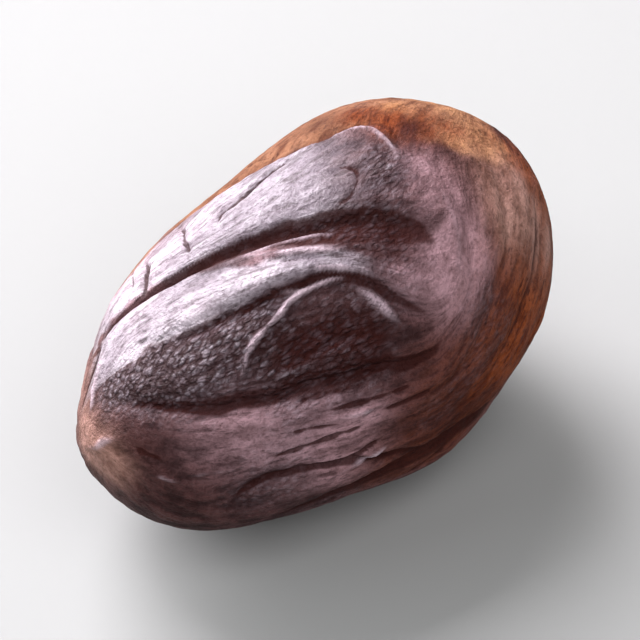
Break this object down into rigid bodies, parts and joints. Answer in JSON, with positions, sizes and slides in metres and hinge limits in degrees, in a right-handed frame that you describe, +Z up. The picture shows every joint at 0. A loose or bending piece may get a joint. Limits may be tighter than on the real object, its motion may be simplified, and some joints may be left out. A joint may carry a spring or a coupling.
{
  "type": "nutmeg",
  "caption": "Whole nutmeg in its dark folded shell, an egg-shaped seed lying on its side, tan about the scar at its broad end.",
  "frame": {"origin": "under the middle of the nutmeg, in the plane of the small flat that it rests on", "axes": "+Z up as the nutmeg lies, +X along its length towards the broad end with the scar, -X to the narrow end"},
  "size_m": [0.031, 0.0192, 0.0187],
  "materials": {
    "nutmeg_shell": "dark brown woody seed shell, half glossy on its folds and duller in its furrows, tan about the scar"
  },
  "bodies": {
    "root": {"nutmeg": "nutmeg_shell"}
  },
  "joints": []
}
